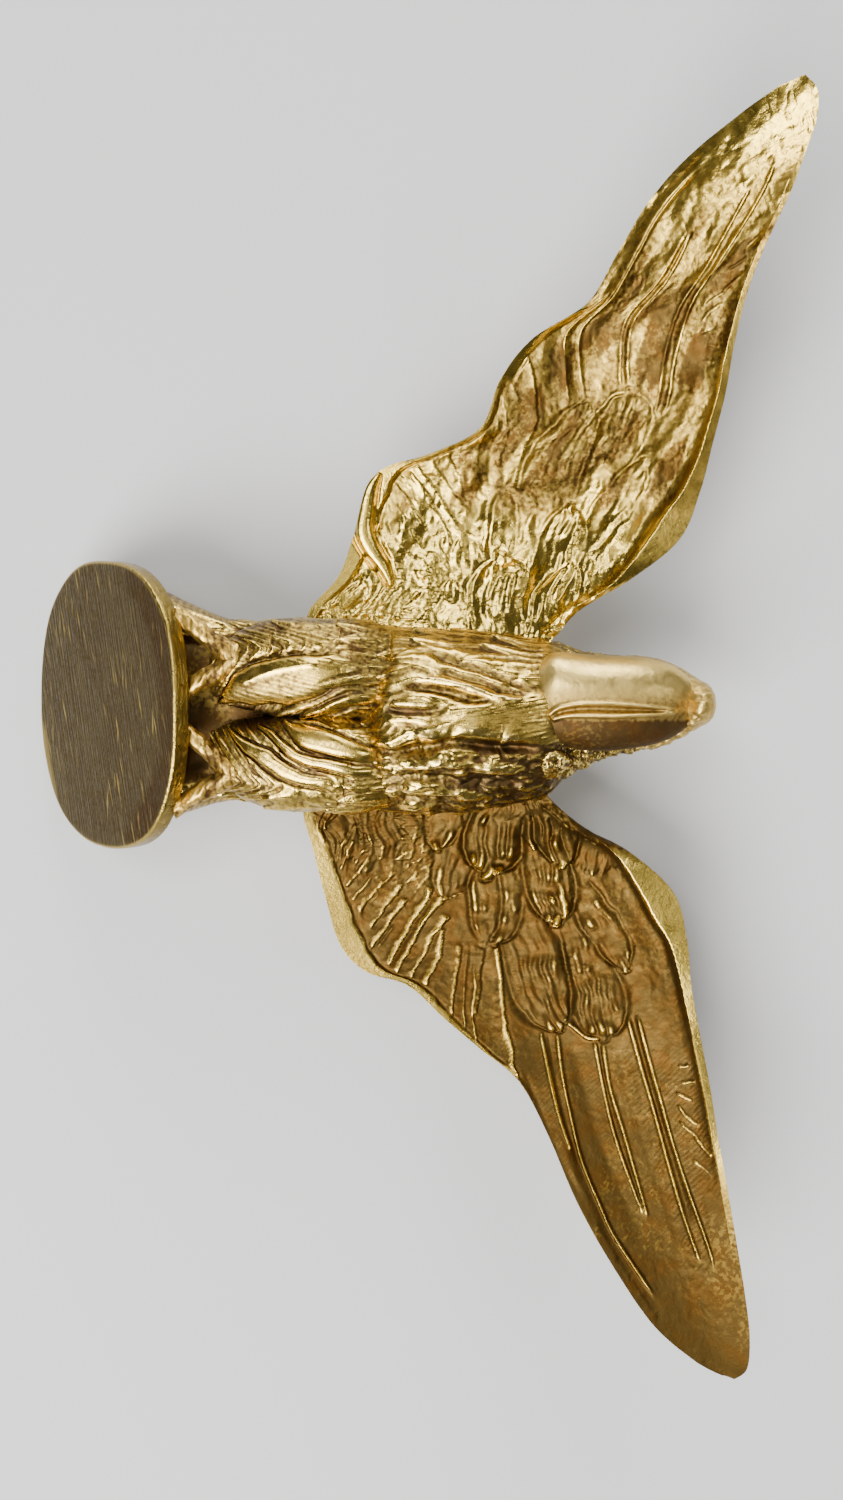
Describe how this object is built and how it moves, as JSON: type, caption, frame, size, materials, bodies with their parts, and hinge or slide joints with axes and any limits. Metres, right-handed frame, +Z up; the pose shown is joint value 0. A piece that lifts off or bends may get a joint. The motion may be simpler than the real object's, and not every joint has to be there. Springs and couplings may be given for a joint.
{
  "type": "car hood ornament",
  "caption": "Cast brass eagle leaning forward on a small flat base with both wings spread, for fixing on a car hood or radiator cap.",
  "frame": {"origin": "middle of the flat underside of the base plate", "axes": "+Z up out of the base, the bird looks and leans along -Y, +X is the bird's left, wings spread along X"},
  "size_m": [0.1532, 0.0908, 0.0569],
  "materials": {
    "ground_brass": "file-ground underside, dull olive with fine scratches, bright worn rim",
    "cast_brass": "cast and hand chased, brown patina in the hollows, polished ridges",
    "wing_brass": "cast feather relief, brown patina in the hollows, polished edges",
    "polished_brass": "smooth worn polish"
  },
  "bodies": {
    "root": {"base_plate": "ground_brass", "tail": "cast_brass", "trunk": "cast_brass", "head": "cast_brass", "left_thigh": "cast_brass", "right_thigh": "cast_brass", "left_wing": "wing_brass", "right_wing": "wing_brass", "left_foot": "polished_brass", "right_foot": "polished_brass", "lower_beak": "polished_brass", "upper_beak": "polished_brass"}
  },
  "joints": []
}
